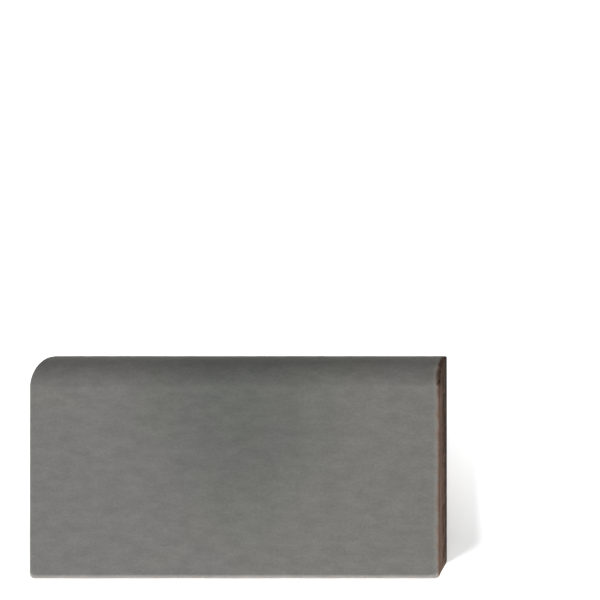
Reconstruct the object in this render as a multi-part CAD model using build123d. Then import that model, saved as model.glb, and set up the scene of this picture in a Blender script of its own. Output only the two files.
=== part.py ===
"""Skirting tile: a pressed and fired clay tile with a quarter-round top edge and a keyed back.

The tile lies on its back. X runs along the wall, Y from the foot to the rounded top edge,
and Z from the back to the glazed face. The origin is at the centre of the back.
"""

import os

from build123d import *

# Driving dimensions, in millimetres and degrees
length = 150.0  # along the wall
height = 80.0  # foot to top edge
thickness = 12.0  # back to face
top_flat = 2.0  # straight strip that the quarter round leaves at the back of the top edge
corner_radius = 2.0  # the two foot corners, seen from the front
arris_radius = 0.8  # softened edge round the face and up the ends
back_arris_radius = 0.5  # softened edge round the back

# Keying on the back: shallow drafted grooves that the bedding mortar grips
key_width = 6.0
key_land = 5.0  # flat left between two grooves
key_depth = 1.0
key_draft = 20.0  # slope of the groove walls, so that the tile leaves its mould
key_end_margin = 10.0  # plain back left at each end of the tile
key_edge_margin = 8.0  # least plain back left along the foot and the top edge

# Worked out from the driving dimensions
foot, top = -height / 2, height / 2
top_radius = thickness - top_flat
key_length = length - 2 * key_end_margin
key_pitch = key_width + key_land
key_pairs = int((top - key_edge_margin + key_land / 2) / key_pitch)


def tile_section():
    """The cross-section: a rectangle whose top front corner is a quarter round."""
    round_start = (top - top_radius, thickness)
    round_end = (top, top_flat)
    with BuildSketch(Plane.YZ) as section:
        with BuildLine():
            Polyline(round_end, (top, 0), (foot, 0), (foot, thickness), round_start)
            RadiusArc(round_start, round_end, top_radius)
        make_face()
    return section.sketch


def pressed_blank():
    """The section drawn out to the tile's length, with its foot corners and its edges softened."""
    blank = extrude(tile_section(), length / 2, both=True)

    foot_corners = blank.edges().filter_by(Axis.Z).group_by(Axis.Y)[0]
    blank = fillet(foot_corners, corner_radius)

    # The face's arris runs along the foot, round its corners and up both ends over the quarter round
    corner_end = foot + corner_radius
    face_edges = blank.faces().sort_by(Axis.Z)[-1].edges()
    end_edges = blank.faces().filter_by(Axis.X).edges()
    along_foot = face_edges.filter_by_position(Axis.Y, foot, corner_end, (True, False))
    up_ends = end_edges.filter_by_position(Axis.Y, corner_end, top, (False, True))
    up_ends = up_ends.filter_by_position(Axis.Z, 0, thickness, (False, True))
    blank = fillet(along_foot + up_ends, arris_radius)

    back_outline = blank.faces().sort_by(Axis.Z)[0].outer_wire().edges()
    return fillet(back_outline, back_arris_radius)


def key_grooves():
    """Round-ended grooves along the back, in pairs either side of a flat land at mid height."""
    rows = [side * (pair + 0.5) * key_pitch for pair in range(key_pairs) for side in (-1, 1)]
    with BuildSketch(Plane.XY) as mouths:
        with Locations(*[(0, row) for row in rows]):
            SlotOverall(key_length, key_width)
    return extrude(mouths.sketch, key_depth, taper=key_draft)


skirting_tile = pressed_blank() - key_grooves()

os.makedirs("parts", exist_ok=True)
export_step(skirting_tile, "parts/skirting_tile.step")

print("skirting_tile", round(skirting_tile.volume), "mm3,", len(skirting_tile.faces()), "faces")
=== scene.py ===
"""Skirting tile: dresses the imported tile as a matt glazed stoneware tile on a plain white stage.

The tile lies on its back. X runs along the wall, Y from the foot to the rounded top edge,
and Z from the back to the glazed face. Lengths are metres.
"""

import math

import bpy
import numpy as np
from bpy.props import FloatProperty, FloatVectorProperty, PointerProperty
from mathutils import Matrix, Vector


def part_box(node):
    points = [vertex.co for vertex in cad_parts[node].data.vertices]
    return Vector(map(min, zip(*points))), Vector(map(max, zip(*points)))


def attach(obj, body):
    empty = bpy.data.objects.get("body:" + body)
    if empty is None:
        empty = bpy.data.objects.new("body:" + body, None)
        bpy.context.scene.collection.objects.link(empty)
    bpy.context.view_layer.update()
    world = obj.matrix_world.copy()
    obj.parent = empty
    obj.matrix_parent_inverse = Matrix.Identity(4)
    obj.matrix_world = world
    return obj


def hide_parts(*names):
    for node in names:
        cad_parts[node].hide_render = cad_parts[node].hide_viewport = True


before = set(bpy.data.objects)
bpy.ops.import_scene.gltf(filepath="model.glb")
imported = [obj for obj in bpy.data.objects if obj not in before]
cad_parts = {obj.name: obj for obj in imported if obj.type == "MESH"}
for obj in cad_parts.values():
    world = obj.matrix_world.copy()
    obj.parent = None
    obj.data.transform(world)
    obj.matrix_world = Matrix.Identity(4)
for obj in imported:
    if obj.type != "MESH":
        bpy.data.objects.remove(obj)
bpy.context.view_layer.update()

bl_info = {
    "name": "Skirting tile",
    "version": (1, 0, 0),
    "blender": (4, 5, 0),
    "location": "3D View > Sidebar > Skirting tile",
    "description": "Makes a matt glazed skirting tile with a quarter-round top edge, and its stage",
    "category": "Object",
}

NODE = "skirting_tile"
LOW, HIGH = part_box(NODE)

# Steps between the mesh's grid lines, in metres
OPEN_STEP = 0.0013  # open face
MARGIN_STEP = 0.0010  # plain back beyond the grooves
FLOOR_STEP = 0.0006  # floor of a groove
STRIP_STEP = 0.0005  # top flat
CORNER_STEP = 0.0004  # foot corners
KEY_END_STEP = 0.0003  # round ends of the grooves
WALL_STEP = 0.0002  # sloping walls of the grooves
WALL_RUN = 0.0006  # width that gets the step of the walls
KEY_RUN = 0.0004  # how far past the grooves the step of their ends goes on

# Unevenness of the fired skin, in metres
BROAD_CELL, FINE_CELL, GRIT_CELL = 0.017, 0.0045, 0.0016
CORE_INSET = 0.006  # how far inside the outline the core lies that the dips point to
KNOTS = 64  # random heights along each side of their lattice

# Stage, in metres from the middle of the tile's back
KEY_PLACE = (-1.3, -0.66, 1.1)
FOOT_PLACE = (0.08, -0.26, 0.05)
TOP_PLACE = (0.06, 0.50, 0.30)
FLOOR_HALF = 3.0
FLOOR_DROP = 0.0001  # how far under the tile the floor lies


def linear(code):
    """An sRGB hex colour as linear red, green and blue."""
    share = np.array([int(code[i : i + 2], 16) for i in (0, 2, 4)]) / 255
    return tuple(np.where(share <= 0.04045, share / 12.92, ((share + 0.055) / 1.055) ** 2.4))


def size(name, description, default):
    """A length that a user may change, in metres."""
    return FloatProperty(
        name=name, description=description, default=default, min=0, precision=5, unit="LENGTH"
    )


def strength(name, description, default, unit="NONE"):
    """The strength or power of a light that a user may change."""
    return FloatProperty(name=name, description=description, default=default, min=0, unit=unit)


def point(name, description, default):
    """A point that a user may change, in metres."""
    return FloatVectorProperty(
        name=name, description=description, default=default, subtype="TRANSLATION"
    )


def colour(name, description, code):
    """A colour that a user may change, given as sRGB hex."""
    return FloatVectorProperty(
        name=name, description=description, default=linear(code), min=0, max=1, size=3, subtype="COLOR"
    )


class TileShape(bpy.types.PropertyGroup):
    """Sizes of the pressed tile."""

    length: size("Length", "Along the wall", HIGH.x - LOW.x)
    height: size("Height", "From the foot to the top edge", HIGH.y - LOW.y)
    thickness: size("Thickness", "From the back to the face", HIGH.z - LOW.z)
    top_flat: size("Top flat", "Straight strip behind the quarter round", 0.002)
    corner: size("Foot corners", "Radius of the two foot corners, seen from the front", 0.002)
    arris: size("Arris", "Radius of the softened edge round the face and up the ends", 0.0008)
    back_arris: size("Back arris", "Radius of the softened edge round the back", 0.0005)
    key_width: size("Key width", "Width of a keying groove on the back", 0.006)
    key_land: size("Key land", "Flat left between two keying grooves", 0.005)
    key_depth: size("Key depth", "Depth of a keying groove", 0.001)
    key_wall: size("Key wall", "Width that a groove's sloping wall takes up", 0.00036)
    key_margin: size("Key margin", "Plain back left at each end of the tile", 0.010)
    key_edge: size("Key edge", "Least plain back left along the foot and the top edge", 0.008)
    wander: size("Wander", "How far the fired skin dips under a true one", 0.00012)
    grit: size("Grit", "How much further the bare clay of the sides dips", 0.00010)
    glaze_lap: size("Glaze lap", "How far past the arris the glaze is half thinned to clay", 0.0006)
    # Widens the pale band along the foot, which is partly thin glaze and partly a painted highlight
    foot_thin_and_highlight: size("Foot thinning", "How much sooner the glaze thins at the foot than at the ends", 0.0008)
    end_bare: size("Bare end", "How much sooner the glaze stops at the right end than at the left", 0.0014)


class TileFinish(bpy.types.PropertyGroup):
    """Colours of the glaze and of the fired body."""

    glaze_warm: colour("Warm glaze", "Glaze where it fired a little warmer", "898785")
    glaze_cool: colour("Cool glaze", "Glaze where it fired a little cooler", "898883")
    glaze_darker_top: colour("Deep glaze", "Glaze in the broad darker cloud at the top", "767873")
    # Also the colour of the painted highlight along the foot arris
    thin_glaze_and_foot_highlight: colour("Thin glaze", "Glaze drawn thin over an arris", "BDBAB6")
    glaze_blush: colour("Blushing glaze", "Thin glaze that the clay shows through", "C8AC9B")
    body: colour("Fired body", "Red-brown stoneware", "9E8171")
    # Partly blotchy stain and partly painted shade towards the back, near the top edge and on the right end
    dark_body_and_shade: colour("Dark body", "Stoneware stained by the kiln, near the back", "5A483B")
    # Painted shade: the dark bottoms of the pits and the dark back rim of the walls
    pit_and_rim_shade: colour("Pits", "Bottoms of the pits in the bare clay", "33271F")


class StageSettings(bpy.types.PropertyGroup):
    """Floor, lamps and camera."""

    floor: colour("Floor", "White floor", "FFFFFF")
    bounce: colour("Floor bounce", "Floor as the light that it throws back sees it", "A0A0A0")
    glow: strength("Floor glow", "Light of its own that keeps the floor white", 0.42)
    sky: strength("Sky", "Even light from all round", 0.186)
    key: strength("Key lamp", "Strength of the lamp on the left", 2.08)
    fill: strength("Foot lamp", "Power of the low lamp at the foot", 0.46, "POWER")
    top: strength("Top lamp", "Power of the lamp above the top edge", 0.31, "POWER")
    eye: point("Lens", "Where the lens is", (0.1366, 0.0759, 0.2720))
    middle: point("Middle", "Point in the face's plane at the picture's middle", (0.0240, 0.0619, 0.0120))
    span: size("Span", "Width of the picture in the face's plane", 0.2188)


def graded(*runs):
    """Grid lines from runs of (start, stop, step): each run is cut into equal steps near that size."""
    cuts = [np.linspace(a, b, max(1, round(abs(b - a) / step)) + 1) for a, b, step in runs]
    joined = np.sort(np.concatenate(cuts))
    return joined[np.concatenate([[True], np.diff(joined) > 1e-7])]


def fold(a, b):
    """Turns square rings into round ones. Where a and b are both positive, the ring is the larger of
    the two, and both shrink by the ring over the diagonal, so that the pair lies on a circle."""
    inside = (a > 0) & (b > 0)
    share = np.where(inside, np.maximum(a, b) / np.maximum(np.hypot(a, b), 1e-12), 1.0)
    return np.where(a > 0, a * share, a), np.where(b > 0, b * share, b)


def rescale(a, b, old, new):
    """Moves the positive ones of a and b by the same share as their ring moved from old to new."""
    share = np.where(old > 0, new / np.where(old > 0, old, 1.0), 1.0)
    return np.where(a > 0, a * share, a), np.where(b > 0, b * share, b)


def lattice_noise(points, cell, seed):
    """Smooth unevenness from 0 to 1: random heights on a lattice of that cell, eased between its knots."""
    place = points / cell
    base = np.floor(place).astype(int)
    part = place - base
    ease = part * part * (3 - 2 * part)
    knots = np.random.default_rng(seed).random((KNOTS, KNOTS, KNOTS))
    total = np.zeros(len(points))
    for corner in np.ndindex(2, 2, 2):
        weight = np.prod(np.where(corner, ease, 1 - ease), axis=1)
        at = (base + corner) % KNOTS
        total += weight * knots[at[:, 0], at[:, 1], at[:, 2]]
    return total


def key_rows(shape):
    """The middles of the keying grooves, in pairs either side of a land at mid height."""
    pitch = shape.key_width + shape.key_land
    pairs = int((shape.height / 2 - shape.key_edge + shape.key_land / 2) / pitch)
    return np.concatenate([[-(i + 0.5) * pitch, (i + 0.5) * pitch] for i in range(pairs)])


def block_lines(shape):
    """Grid lines of the plain block along X, Y and Z, close together where an edge will be rounded.
    Over the quarter round they are the tangents of equal angles."""
    half, foot, top = shape.length / 2, -shape.height / 2, shape.height / 2
    crown = shape.thickness - shape.top_flat
    fine = shape.arris / 5
    tangents = crown * np.tan(np.linspace(0, math.pi / 4, 15))[:-2]

    key_end = half - shape.key_margin
    key_start = key_end - shape.key_width / 2
    right = graded(
        (0, key_start, OPEN_STEP),
        (key_start, key_end + KEY_RUN, KEY_END_STEP),
        (key_end + KEY_RUN, half - shape.corner, MARGIN_STEP),
        (half - shape.corner, half - shape.arris, CORNER_STEP),
        (half - shape.arris, half, fine),
    )
    along = np.concatenate([-right[:0:-1], right])

    across = [
        (foot, foot + shape.arris, fine),
        (foot + shape.arris, foot + shape.corner, CORNER_STEP),
    ]
    mouth = shape.key_width / 2
    reached = foot + shape.corner
    for row in np.sort(key_rows(shape)):
        low, high = row - mouth, row + mouth
        across += [
            (reached, low, OPEN_STEP),
            (low, low + WALL_RUN, WALL_STEP),
            (low + WALL_RUN, high - WALL_RUN, FLOOR_STEP),
            (high - WALL_RUN, high, WALL_STEP),
        ]
        reached = high
    up = graded(*across, (reached, top - crown, OPEN_STEP), (top - shape.arris, top, fine))
    kept = up[(up <= top - crown) | (up > top - shape.arris)]
    up = np.unique(np.round(np.concatenate([kept, top - crown + tangents]), 8))

    through = graded(
        (0, shape.back_arris, shape.back_arris / 4),
        (shape.back_arris, shape.top_flat, STRIP_STEP),
        (shape.thickness - shape.arris, shape.thickness, fine),
    )
    through = np.unique(np.round(np.concatenate([through, shape.top_flat + tangents]), 8))
    return along, up, through


def block_skin(counts):
    """The six sides of a block of grid lines as one closed skin. Each side is a grid of two of the
    line numbers with the third held at its first or last. Returns each corner's three line numbers
    and the four corners of each face, with the faces outward."""
    keys, faces, start = [], [], 0
    for held in range(3):
        first, second = (held + 1) % 3, (held + 2) % 3
        for last in (False, True):
            a, b = np.meshgrid(np.arange(counts[first]), np.arange(counts[second]), indexing="ij")
            numbers = np.empty(a.shape + (3,), int)
            numbers[..., first], numbers[..., second] = a, b
            numbers[..., held] = counts[held] - 1 if last else 0
            index = start + np.arange(a.size).reshape(a.shape)
            ring = [index[:-1, :-1], index[1:, :-1], index[1:, 1:], index[:-1, 1:]]
            faces.append(np.stack(ring if last else ring[::-1], axis=-1).reshape(-1, 4))
            keys.append(numbers.reshape(-1, 3))
            start += a.size
    corners, joined = np.unique(np.concatenate(keys), axis=0, return_inverse=True)
    return corners, joined.reshape(-1)[np.concatenate(faces)]


def fired_skin(shape):
    """The tile's skin. A point of the plain block is placed by its ring inside the plan outline and
    its ring under the face; an arris folds these two into a circle, the foot corners fold the plan
    ring, and the quarter round folds the ring under the face. Then the keying grooves are sunk into
    the back, and the fired skin dips a little, unevenly. Returns points, faces, how far each point
    lies past the arris, which is negative on the face and positive down the ends, the foot and the
    back, and how deep it lies under the face, with the whole back counted as no deeper than a third."""
    lines = block_lines(shape)
    numbers, faces = block_skin([len(line) for line in lines])
    x, y, z = (line[numbers[:, i]] for i, line in enumerate(lines))
    half, foot, top = shape.length / 2, -shape.height / 2, shape.height / 2
    crown = shape.thickness - shape.top_flat
    back = z == 0

    plan_x, plan_y = np.abs(x) - (half - shape.corner), foot + shape.corner - y
    face_y, face_z = y - (top - crown), z - shape.top_flat
    plan, face = np.maximum(plan_x, plan_y), np.maximum(face_y, face_z)
    past = (crown - face) - (shape.corner - plan)
    past = np.maximum(past, np.where(face_z < 0, 2 * (shape.top_flat - z), past))

    over, under = fold(plan - (shape.corner - shape.arris), face - (crown - shape.arris))
    plan_new, face_new = over + shape.corner - shape.arris, under + crown - shape.arris
    low_over, low_under = fold(plan_new - (shape.corner - shape.back_arris), shape.back_arris - z)
    plan_new = low_over + shape.corner - shape.back_arris
    back_z = shape.back_arris - low_under
    top_over, top_under = fold(y - (top - shape.back_arris), shape.back_arris - back_z)

    new_x, new_y = fold(*rescale(plan_x, plan_y, plan, plan_new))
    round_y, round_z = fold(*rescale(face_y, face_z, face, face_new))
    lift = (shape.back_arris - top_under) - z
    tuck = top_over - (y - (top - shape.back_arris))
    points = np.stack([
        x + np.sign(x) * (new_x - plan_x),
        y - (new_y - plan_y) + (round_y - face_y) + tuck,
        z + (round_z - face_z) + lift,
    ], axis=1)

    groove_end = half - shape.key_margin - shape.key_width / 2
    beyond = np.maximum(np.abs(x) - groove_end, 0)
    inside = shape.key_width / 2 - np.min(
        np.hypot(beyond[:, None], y[:, None] - key_rows(shape)[None, :]), axis=1)
    sunk = np.clip(inside / shape.key_wall, 0, 1)
    points[:, 2] += np.where(back, shape.key_depth * sunk * sunk * (3 - 2 * sunk), 0)

    core = np.stack([
        np.clip(points[:, 0], -half + CORE_INSET, half - CORE_INSET),
        np.clip(points[:, 1], foot + CORE_INSET, top - CORE_INSET),
        np.full(len(points), shape.thickness / 2),
    ], axis=1)
    inward = core - points
    inward /= np.linalg.norm(inward, axis=1, keepdims=True)
    bare = np.clip(past / shape.glaze_lap - 1, 0, 1)
    broad, fine = lattice_noise(points, BROAD_CELL, 3), lattice_noise(points, FINE_CELL, 5)
    dip = shape.wander * (0.6 * broad + 0.4 * fine)
    dip += shape.grit * bare * lattice_noise(points, GRIT_CELL, 7)
    points += inward * np.where(back, 0, dip)[:, None]
    return points, faces, past, np.where(back, shape.thickness / 3, shape.thickness - points[:, 2])


def mesh_object(name, points, faces):
    """A new object at the origin with a smooth mesh of these points and four-sided faces."""
    mesh = bpy.data.meshes.new(name)
    mesh.from_pydata(points.tolist(), [], faces.tolist())
    mesh.polygons.foreach_set("use_smooth", np.ones(len(mesh.polygons), bool))
    mesh.update()
    made = bpy.data.objects.new(name, mesh)
    bpy.context.scene.collection.objects.link(made)
    return made


def add(tree, kind, sockets=(), **settings):
    """Adds a node with its settings, then fills its sockets: a tuple fills those in use in their order,
    and a dict fills them by name. A node or an output is linked, and any other value is set."""
    made = tree.nodes.new(kind)
    for name, value in settings.items():
        setattr(made, name, value)
    used = [socket for socket in made.inputs if socket.enabled]
    named = isinstance(sockets, dict)
    pairs = [(made.inputs[name], value) for name, value in sockets.items()] if named else zip(used, sockets)
    for socket, value in pairs:
        if isinstance(value, bpy.types.Node):
            value = next(output for output in value.outputs if output.enabled)
        if isinstance(value, bpy.types.NodeSocket):
            tree.links.new(value, socket)
        else:
            socket.default_value = value
    return made


def new_material(name):
    """An empty node material, and its tree."""
    material = bpy.data.materials.new(name)
    material.use_nodes = True
    material.node_tree.nodes.clear()
    return material, material.node_tree


def glazed_stoneware(shape, finish):
    """Matt cement-grey glaze sprayed on a pressed red stoneware tile. The glaze is dull and cloudy with a
    fine dry grain. It draws thin and pale over each arris and then thins out raggedly, and along the foot
    arris the pale band is also a painted highlight. Past it the sandy red-brown clay is bare, in faint
    layers and pitted. Its darkening towards the back and the top edge is partly blotchy stain and partly
    painted shade. The extra darkening of the right end, the dark back rim and the dark pit bottoms are
    painted shade."""
    material, tree = new_material("matt_cement_glaze_on_red_stoneware")
    where = add(tree, "ShaderNodeTexCoord").outputs["Object"]
    past = add(tree, "ShaderNodeAttribute", attribute_name="past_arris").outputs["Fac"]
    under = add(tree, "ShaderNodeAttribute", attribute_name="wall_depth").outputs["Fac"]
    spot = add(tree, "ShaderNodeSeparateXYZ", (where,)).outputs
    half, foot, top = shape.length / 2, -shape.height / 2, shape.height / 2
    crest = add(tree, "ShaderNodeMapRange", (spot["Y"], top - 0.014, top - 0.004, 0, 1))

    # A dry grain of 0.8 mm, drawn-out mottling from 8 by 4 mm down to 0.5 mm, and clouds of about 40 mm,
    # warmer on the left and cooler on the right
    grain = add(tree, "ShaderNodeTexNoise", {"Vector": where, "Scale": 1 / 0.0008, "Detail": 2})
    drawn = add(tree, "ShaderNodeMapping", {"Vector": where, "Scale": (1 / 0.008, 1 / 0.004, 1 / 0.004)})
    mottle = add(tree, "ShaderNodeTexNoise", {"Vector": drawn, "Scale": 1, "Detail": 4, "Roughness": 0.75})
    cloud = add(tree, "ShaderNodeTexNoise", {"Vector": where, "Scale": 1 / 0.040, "Detail": 2})
    along = add(tree, "ShaderNodeMath", (spot["X"], 2.0, cloud), operation="MULTIPLY_ADD")
    clouded = add(tree, "ShaderNodeMapRange", (along, 0.35, 0.65, 0, 1))
    glaze = add(tree, "ShaderNodeMix",
                (clouded, (*finish.glaze_warm, 1), (*finish.glaze_cool, 1)), data_type="RGBA")

    # One broad darker cloud under the top edge, darkest near the edge, with a wandering rim
    bent = add(tree, "ShaderNodeVectorMath",
               (cloud.outputs["Color"], (0.02, 0.02, 0), where), operation="MULTIPLY_ADD")
    broad = add(tree, "ShaderNodeMapping",
                {"Vector": bent, "Location": (0.0105, 0.042, 0.012), "Scale": (0.054, 0.082, 0.054)},
                vector_type="TEXTURE")
    fade = add(tree, "ShaderNodeTexGradient", (broad,), gradient_type="SPHERICAL")
    deep = add(tree, "ShaderNodeMapRange", (fade, 0, 0.9, 0, 1), interpolation_type="SMOOTHSTEP")
    glaze = add(tree, "ShaderNodeMix", (deep, glaze, (*finish.glaze_darker_top, 1)), data_type="RGBA")

    # The right end's glaze stops short of the arris, and sooner still near the top edge
    clear = add(tree, "ShaderNodeMapRange", (spot["Y"], foot + 0.001, foot + 0.004, 0, shape.end_bare))
    clear = add(tree, "ShaderNodeMath", (crest, shape.end_bare / 2, clear), operation="MULTIPLY_ADD")
    short = add(tree, "ShaderNodeMapRange", (spot["X"], half - 0.0040, half - 0.0028, 0, clear))
    past = add(tree, "ShaderNodeMath", (past, short), operation="ADD")

    # Thin pale glaze from just before the arris, ragged every 2.5 mm. At the foot it starts sooner and is
    # paler, partly thin glaze and partly a painted highlight along the foot arris
    sooner = add(tree, "ShaderNodeMapRange", (spot["Y"], foot + 0.0016, foot + 0.0030, shape.foot_thin_and_highlight, 0))
    early = add(tree, "ShaderNodeMath", (past, sooner), operation="ADD")
    ragged = add(tree, "ShaderNodeTexNoise", {"Vector": where, "Scale": 1 / 0.0025, "Detail": 3})
    sway = add(tree, "ShaderNodeMapRange", (ragged, 0.25, 0.75, -0.0006, 0.0006))
    edge = add(tree, "ShaderNodeMath", (past, sway), operation="ADD")
    # Painted highlight: 0.9 of the pale glaze at the foot, against 0.16 elsewhere
    pale_share_and_foot_highlight = add(tree, "ShaderNodeMapRange", (spot["Y"], foot + 0.0016, foot + 0.0028, 0.9, 0.16))
    thin = add(tree, "ShaderNodeMapRange",
               (early, -0.0011, -0.0002, 0, pale_share_and_foot_highlight), interpolation_type="SMOOTHSTEP")
    blush = add(tree, "ShaderNodeMapRange", (edge, -0.0006, 0.0006, 0, 1))
    pale = add(tree, "ShaderNodeMix",
               (blush, (*finish.thin_glaze_and_foot_highlight, 1), (*finish.glaze_blush, 1)), data_type="RGBA")
    glaze = add(tree, "ShaderNodeMix", (thin, glaze, pale), data_type="RGBA")

    # Bare clay: layers 1.1 mm thick beside the face, blotches of 5 mm and pits of 1.4 mm towards the back.
    # The clay darkens towards the back and near the top edge, partly blotchy stain and partly painted
    # shade. The right end gets about twice as much as the rest, and its upper half more still, which is
    # painted shade
    flat = add(tree, "ShaderNodeMapping", {"Vector": where, "Scale": (1 / 0.014, 1 / 0.014, 1 / 0.0011)})
    layer = add(tree, "ShaderNodeTexNoise", {"Vector": flat, "Scale": 1, "Detail": 3})
    blotch = add(tree, "ShaderNodeTexNoise", {"Vector": where, "Scale": 1 / 0.005, "Detail": 4})
    pitted = add(tree, "ShaderNodeTexNoise", {"Vector": where, "Scale": 1 / 0.0014, "Detail": 2})
    depth = add(tree, "ShaderNodeMapRange",
                (under, 0.0022, 0.0065, 0.1, 0.9), interpolation_type="SMOOTHSTEP")
    # Painted shade: the clay darkens more near the top edge
    depth = add(tree, "ShaderNodeMath", (crest, 0.6, depth), operation="MULTIPLY_ADD")
    # Painted shade: the right end darkens about twice as much as the rest, and more in its upper half
    upper_end_shade = add(tree, "ShaderNodeMapRange", (spot["Y"], -0.004, 0.020, 1, 1.5))
    shade_by_end = add(tree, "ShaderNodeMapRange", (spot["X"], half - 0.004, half - 0.001, 0.45, upper_end_shade))
    patch = add(tree, "ShaderNodeMapRange", (blotch, 0.35, 0.62, 0.3, 1.1))
    patch = add(tree, "ShaderNodeMath", (patch, shade_by_end), operation="MULTIPLY")
    stain_and_shade = add(tree, "ShaderNodeMath", (depth, patch), operation="MULTIPLY", use_clamp=True)
    body = add(tree, "ShaderNodeMix", (stain_and_shade, (*finish.body, 1), (*finish.dark_body_and_shade, 1)), data_type="RGBA")
    # Painted shade: a dark band along the back rim of the walls, blotched
    rim = add(tree, "ShaderNodeMapRange",
              (under, 0.0075, 0.0105, 0, patch), interpolation_type="SMOOTHSTEP")
    body = add(tree, "ShaderNodeMix", (rim, body, (*finish.pit_and_rim_shade, 1)), data_type="RGBA")
    hole = add(tree, "ShaderNodeMapRange", (pitted, 0.58, 0.68, 0, 1), interpolation_type="SMOOTHSTEP")
    # Painted shade: the pit bottoms darken, more where the clay is already darker
    holes = add(tree, "ShaderNodeMath", (hole, stain_and_shade), operation="MULTIPLY")
    body = add(tree, "ShaderNodeMix", (holes, body, (*finish.pit_and_rim_shade, 1)), data_type="RGBA")
    layered = add(tree, "ShaderNodeMapRange", (layer, 0.3, 0.7, 0.86, 1.14))
    body = add(tree, "ShaderNodeMix", (1.0, body, layered), data_type="RGBA", blend_type="MULTIPLY")

    # Glaze over clay, with the mottling and the grain over both
    lap = shape.glaze_lap
    bare = add(tree, "ShaderNodeMapRange",
               (edge, lap - 0.0007, lap + 0.0007, 0, 1), interpolation_type="SMOOTHSTEP")
    surface = add(tree, "ShaderNodeMix", (bare, glaze, body), data_type="RGBA")
    light = add(tree, "ShaderNodeMapRange", (mottle, 0.3, 0.7, 0.87, 1.13))
    dusty = add(tree, "ShaderNodeMapRange", (grain, 0.3, 0.7, 0.93, 1.07))
    shade = add(tree, "ShaderNodeMath", (light, dusty), operation="MULTIPLY")
    surface = add(tree, "ShaderNodeMix", (1.0, surface, shade), data_type="RGBA", blend_type="MULTIPLY")

    # A dry glaze, and clay that is rougher still
    dull = add(tree, "ShaderNodeMapRange", (bare, 0, 1, 0.72, 0.92))
    sandy = add(tree, "ShaderNodeMapRange", (bare, 0, 1, 0.25, 1.0))
    low = add(tree, "ShaderNodeMath", (holes, bare), operation="MULTIPLY")
    relief = add(tree, "ShaderNodeMath", (grain, sandy), operation="MULTIPLY")
    relief = add(tree, "ShaderNodeMath", (relief, low), operation="SUBTRACT")
    bump = add(tree, "ShaderNodeBump", {"Height": relief, "Strength": 1.0, "Distance": 0.00015})
    shader = add(tree, "ShaderNodeBsdfPrincipled", {
        "Base Color": surface,
        "Roughness": dull,
        "Normal": bump,
        "IOR": 1.5,
        "Specular IOR Level": 0.25,
    })
    add(tree, "ShaderNodeOutputMaterial", {"Surface": shader})
    return material


def plainly_seen(tree):
    """One where the camera sees a thing, also in a reflection or through glass, and nought elsewhere."""
    path = add(tree, "ShaderNodeLightPath").outputs
    seen = add(tree, "ShaderNodeMath", (path["Is Camera Ray"], path["Is Glossy Ray"]), operation="MAXIMUM")
    return add(tree, "ShaderNodeMath", (seen, path["Is Transmission Ray"]), operation="MAXIMUM")


def white_floor(stage):
    """Matt white paper. The camera sees it white, with the tile's shadow. Its own glow rises from the foot
    side to full white past the top edge, painted light that fades the shadow towards the top edge. To the
    light that it throws back it is greyer, so that the tile's sides keep their shade."""
    material, tree = new_material("matt_white_paper")
    paper = add(tree, "ShaderNodeBsdfDiffuse", {"Color": (*stage.floor, 1)})
    where = add(tree, "ShaderNodeTexCoord").outputs["Object"]
    spot = add(tree, "ShaderNodeSeparateXYZ", (where,)).outputs
    # Painted light: the glow rises from the foot side to full white past the top edge, so the shadow fades
    # there
    level = add(tree, "ShaderNodeMapRange", (spot["Y"], -0.030, 0.030, stage.glow, 1))
    glow = add(tree, "ShaderNodeEmission", {"Strength": level})
    lit = add(tree, "ShaderNodeAddShader", (paper, glow))
    dull = add(tree, "ShaderNodeBsdfDiffuse", {"Color": (*stage.bounce, 1)})
    both = add(tree, "ShaderNodeMixShader", (plainly_seen(tree), dull, lit))
    add(tree, "ShaderNodeOutputMaterial", {"Surface": both})
    return material


def even_sky(stage):
    """A world that lights the tile evenly and looks white."""
    world = bpy.data.worlds.new("even_sky")
    world.use_nodes = True
    tree = world.node_tree
    tree.nodes.clear()
    level = add(tree, "ShaderNodeMapRange", (plainly_seen(tree), 0, 1, stage.sky, 1))
    sky = add(tree, "ShaderNodeBackground", {"Color": (1, 1, 1, 1), "Strength": level})
    add(tree, "ShaderNodeOutputWorld", {"Surface": sky})
    return world


def add_lamp(name, kind, place, **settings):
    """A lamp at that place, turned to the tile's middle and unseen by the camera."""
    data = bpy.data.lights.new(name, kind)
    for setting, value in settings.items():
        setattr(data, setting, value)
    made = bpy.data.objects.new(name, data)
    made.location = place
    made.rotation_euler = (-Vector(place)).to_track_quat("-Z", "Y").to_euler()
    made.visible_camera = False
    bpy.context.scene.collection.objects.link(made)


class SKIRTING_OT_fire_tile(bpy.types.Operator):
    """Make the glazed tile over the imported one"""

    bl_idname = "skirting.fire_tile"
    bl_label = "Glazed tile"

    def execute(self, context):
        shape, finish = context.scene.tile_shape, context.scene.tile_finish
        if shape.thickness - shape.top_flat <= shape.arris or shape.corner < shape.arris:
            raise ValueError("The quarter round or the foot corners leave no room for the arris")
        points, faces, past, depth = fired_skin(shape)
        tile = mesh_object("glazed_tile", points, faces)
        tile.data.attributes.new("past_arris", "FLOAT", "POINT").data.foreach_set("value", past)
        tile.data.attributes.new("wall_depth", "FLOAT", "POINT").data.foreach_set("value", depth)
        tile.data.materials.append(glazed_stoneware(shape, finish))
        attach(tile, "root")
        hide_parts(NODE)
        return {"FINISHED"}


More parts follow.
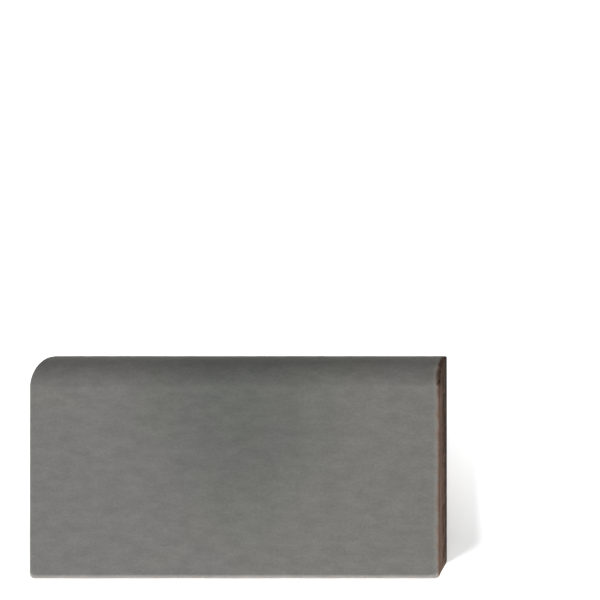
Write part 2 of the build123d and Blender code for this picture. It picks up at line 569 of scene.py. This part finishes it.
class SKIRTING_OT_set_stage(bpy.types.Operator):
    """Set the floor, the lamps, the world and the camera"""

    bl_idname = "skirting.set_stage"
    bl_label = "Stage"

    def execute(self, context):
        stage = context.scene.stage_settings
        side = np.array([-FLOOR_HALF, FLOOR_HALF])
        square = np.stack([side[[0, 1, 1, 0]], side[[0, 0, 1, 1]], np.full(4, -FLOOR_DROP)], axis=1)
        floor = mesh_object("paper_floor", square, np.array([[0, 1, 2, 3]]))
        floor.data.materials.append(white_floor(stage))

        add_lamp("key_lamp", "SUN", KEY_PLACE, energy=stage.key, angle=math.radians(16))
        add_lamp("foot_lamp", "AREA", FOOT_PLACE,
                 energy=stage.fill, shape="RECTANGLE", size=0.36, size_y=0.05)
        add_lamp("top_lamp", "AREA", TOP_PLACE,
                 energy=stage.top, shape="RECTANGLE", size=0.50, size_y=0.20)
        context.scene.world = even_sky(stage)

        # The picture is square to the face with the lens off to the right and above, so the line from
        # the picture's middle to the lens leans while the film stays parallel to the face. The lens
        # shift stays at zero.
        lean = Vector(stage.eye) - Vector(stage.middle)
        if lean.z <= 0 or stage.span <= 0:
            raise ValueError("The lens has to stand off the face, and the picture needs a width")
        slant = lean.normalized()
        data = bpy.data.cameras.new("camera")
        data.sensor_width = 36.0
        data.lens = data.sensor_width * lean.length / stage.span
        data.clip_start, data.clip_end = 0.01, 20.0
        stand = bpy.data.objects.new("camera_stand", None)
        camera = bpy.data.objects.new("camera", data)
        camera.parent = stand
        camera.matrix_parent_inverse = Matrix((
            (1, 0, slant.x, stage.eye[0]),
            (0, 1, slant.y, stage.eye[1]),
            (0, 0, slant.z, stage.eye[2]),
            (0, 0, 0, 1),
        ))
        context.scene.collection.objects.link(stand)
        context.scene.collection.objects.link(camera)
        context.scene.camera = camera
        context.scene.view_settings.view_transform = "Standard"
        return {"FINISHED"}


class SKIRTING_PT_bench(bpy.types.Panel):
    """Lists the tile's sizes, its colours and the two makers"""

    bl_idname = "SKIRTING_PT_bench"
    bl_label = "Skirting tile"
    bl_space_type = "VIEW_3D"
    bl_region_type = "UI"
    bl_category = "Skirting tile"

    def draw(self, context):
        for name in ("tile_shape", "tile_finish", "stage_settings"):
            group = getattr(context.scene, name)
            for key in group.bl_rna.properties.keys():
                if key not in ("rna_type", "name"):
                    self.layout.prop(group, key)
        self.layout.operator(SKIRTING_OT_fire_tile.bl_idname)
        self.layout.operator(SKIRTING_OT_set_stage.bl_idname)


GROUPS = {"tile_shape": TileShape, "tile_finish": TileFinish, "stage_settings": StageSettings}
CLASSES = (*GROUPS.values(), SKIRTING_OT_fire_tile, SKIRTING_OT_set_stage, SKIRTING_PT_bench)


def register():
    for made in CLASSES:
        bpy.utils.register_class(made)
    for name, group in GROUPS.items():
        setattr(bpy.types.Scene, name, PointerProperty(type=group))


def unregister():
    for name in GROUPS:
        delattr(bpy.types.Scene, name)
    for made in reversed(CLASSES):
        bpy.utils.unregister_class(made)


def main():
    register()
    bpy.ops.skirting.fire_tile()
    bpy.ops.skirting.set_stage()


if __name__ == "__main__":
    main()
